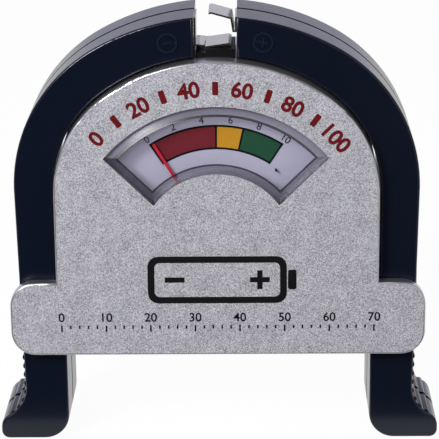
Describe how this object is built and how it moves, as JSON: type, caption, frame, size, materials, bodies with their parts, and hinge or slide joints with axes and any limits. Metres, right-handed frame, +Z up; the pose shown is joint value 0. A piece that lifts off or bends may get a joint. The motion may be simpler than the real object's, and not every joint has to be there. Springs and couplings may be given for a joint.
{
  "type": "battery tester",
  "caption": "Hand-held cell tester: arched silver case with a sector dial and pointer, two sprung arms that clamp a cell at their tips, and flared ribbed finger grips.",
  "frame": {"origin": "on the floor under the two feet, in the middle of the width and the depth", "axes": "+X to the right as the dial is read, +Y to the back, +Z up"},
  "size_m": [0.1, 0.028, 0.0981],
  "materials": {
    "silver_case": "silver-painted moulded ABS with a fine grain",
    "navy_shell": "navy-black moulded ABS, satin gloss",
    "clear_lens": "clear moulded window with a bevelled rim",
    "dial_print": "printed metal dial, pale lavender white",
    "screw_steel": "zinc-plated steel screws",
    "black_plastic": "black moulded plastic",
    "nickel_contact": "nickel-plated spring strip",
    "rivet_brass": "brass rivets and turned parts",
    "soft_iron": "soft iron ring, ground",
    "magnet": "cast permanent magnet, ground",
    "light_alloy": "aluminium",
    "pointer_red": "aluminium pointer painted red",
    "steel_pin": "ground steel pins and staffs",
    "spring_steel": "drawn spring wire",
    "spring_bronze": "phosphor bronze strip",
    "coil_copper": "enamelled copper winding",
    "board_green": "glass-epoxy board with green resist",
    "resistor_body": "lacquered resistors with tinned leads",
    "trimmer_blue": "blue moulded preset",
    "wire_red": "red insulated wire",
    "wire_black": "black insulated wire",
    "wire_white": "white insulated wire"
  },
  "bodies": {
    "case": {"front_cover": "silver_case", "rear_cover": "silver_case", "case_screws": "screw_steel", "window_lens": "clear_lens", "dial_card": "dial_print", "dial_screws": "screw_steel", "stop_pin": "black_plastic", "meter_frame": "black_plastic", "meter_screws": "screw_steel", "yoke_ring": "soft_iron", "core_magnet": "magnet", "core_holder": "light_alloy", "front_bridge": "light_alloy", "front_jewel_screw": "rivet_brass", "rear_jewel_screw": "rivet_brass", "front_hairspring": "spring_bronze", "circuit_board": "board_green", "board_screws": "screw_steel", "load_resistors": "resistor_body", "trimmer": "trimmer_blue", "pin_tags": "nickel_contact", "contact_block": "black_plastic", "lower_contact": "nickel_contact", "lower_contact_lead": "wire_white", "right_case_lead": "wire_red", "left_case_lead": "wire_black", "right_pivot_pin": "steel_pin", "left_pivot_pin": "steel_pin", "right_return_spring": "spring_steel", "left_return_spring": "spring_steel"},
    "left_arm": {"left_front_shell": "navy_shell", "left_rear_shell": "navy_shell", "left_arm_screws": "screw_steel", "minus_contact": "nickel_contact", "minus_rivets": "rivet_brass", "minus_terminal": "nickel_contact", "left_arm_lead": "wire_black"},
    "right_arm": {"right_front_shell": "navy_shell", "right_rear_shell": "navy_shell", "right_arm_screws": "screw_steel", "plus_contact": "nickel_contact", "plus_rivets": "rivet_brass", "plus_terminal": "nickel_contact", "right_arm_lead": "wire_red"},
    "pointer": {"pointer": "pointer_red", "pointer_staff": "steel_pin", "balance_weights": "rivet_brass", "coil_former": "light_alloy", "moving_coil": "coil_copper"}
  },
  "joints": [
    {"name": "left_arm_hinge", "type": "hinge", "parent": "case", "child": "left_arm", "pos_m": [-0.0399, 0, 0.0301], "axis": [0, -1, 0], "range_deg": [0, 24], "stiffness_Nm_per_rad": 0.35, "springref_deg": -17.19, "deforming": ["left_return_spring"]},
    {"name": "right_arm_hinge", "type": "hinge", "parent": "case", "child": "right_arm", "pos_m": [0.0399, 0, 0.0301], "axis": [0, 1, 0], "range_deg": [0, 24], "stiffness_Nm_per_rad": 0.35, "springref_deg": -17.19, "deforming": ["right_return_spring"]},
    {"name": "pointer_turn", "type": "hinge", "parent": "case", "child": "pointer", "pos_m": [0, 0, 0.0468], "axis": [0, 1, 0], "range_deg": [-2, 66], "stiffness_Nm_per_rad": 0.00003, "springref_deg": -1.15, "deforming": ["front_hairspring"]}
  ]
}
